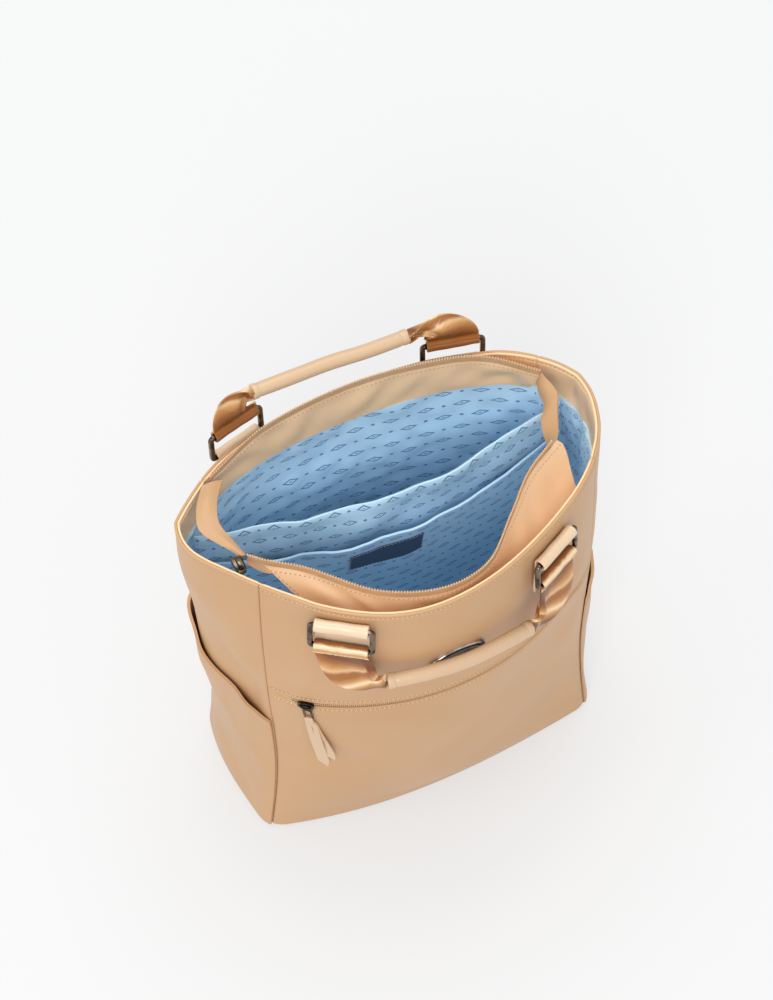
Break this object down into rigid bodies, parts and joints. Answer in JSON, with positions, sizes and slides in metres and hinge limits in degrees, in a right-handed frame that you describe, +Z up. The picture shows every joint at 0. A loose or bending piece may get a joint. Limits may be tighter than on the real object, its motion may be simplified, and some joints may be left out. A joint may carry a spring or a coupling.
{
  "type": "backpack",
  "caption": "Convertible tote backpack of coated cloth with an open zipped mouth, light lining, padded divider, grab handles on rectangular rings, side pockets and shoulder straps.",
  "frame": {"origin": "middle of the base, on the surface that the bag stands on", "axes": "+Z up, -Y towards the front with the zip pocket, +X to the right seen from the front"},
  "size_m": [0.3587, 0.2759, 0.4172],
  "materials": {
    "coated_cloth": "satin coated cloth, tan",
    "grip_cloth": "satin coated cloth, cream",
    "satin_lining": "satin lining, light blue",
    "strap_cloth": "glossy folded webbing, gold tan",
    "gunmetal": "polished gunmetal",
    "zip_coil": "ribbed zip coil, tan",
    "label_cloth": "matte patch, dark slate"
  },
  "bodies": {
    "root": {"base_panel": "coated_cloth", "front_panel_lower": "coated_cloth", "front_panel_upper": "coated_cloth", "right_panel": "coated_cloth", "back_panel": "coated_cloth", "left_panel": "coated_cloth", "front_pocket_zip": "zip_coil", "lining_wall": "satin_lining", "rim_facing": "coated_cloth", "lining_floor": "satin_lining", "zip_facing_rear": "coated_cloth", "zip_track_rear": "zip_coil", "zip_facing_front": "coated_cloth", "zip_track_front": "zip_coil", "zip_tail_left": "coated_cloth", "zip_tail_right": "coated_cloth", "mouth_slider": "gunmetal", "divider": "satin_lining", "slip_pocket": "satin_lining", "label_patch": "label_cloth", "ring_front_left": "gunmetal", "ring_tab_front_left": "grip_cloth", "webbing_loop_front_left": "strap_cloth", "webbing_front_left": "strap_cloth", "ring_front_right": "gunmetal", "ring_tab_front_right": "grip_cloth", "webbing_loop_front_right": "strap_cloth", "webbing_front_right": "strap_cloth", "ring_back_right": "gunmetal", "ring_tab_back_right": "grip_cloth", "webbing_loop_back_right": "strap_cloth", "webbing_back_right": "strap_cloth", "ring_back_left": "gunmetal", "ring_tab_back_left": "grip_cloth", "webbing_loop_back_left": "strap_cloth", "webbing_back_left": "strap_cloth", "grip_front": "grip_cloth", "grip_back": "grip_cloth", "badge": "gunmetal", "pocket_slider": "gunmetal", "pull_loop": "gunmetal", "pull_tab": "grip_cloth", "side_pocket_left": "coated_cloth", "side_pocket_right": "coated_cloth", "strap_yoke": "coated_cloth", "shoulder_strap_left": "coated_cloth", "lower_strap_left": "strap_cloth", "strap_tab_left": "coated_cloth", "strap_buckle_left": "gunmetal", "shoulder_strap_right": "coated_cloth", "lower_strap_right": "strap_cloth", "strap_tab_right": "coated_cloth", "strap_buckle_right": "gunmetal"}
  },
  "joints": []
}
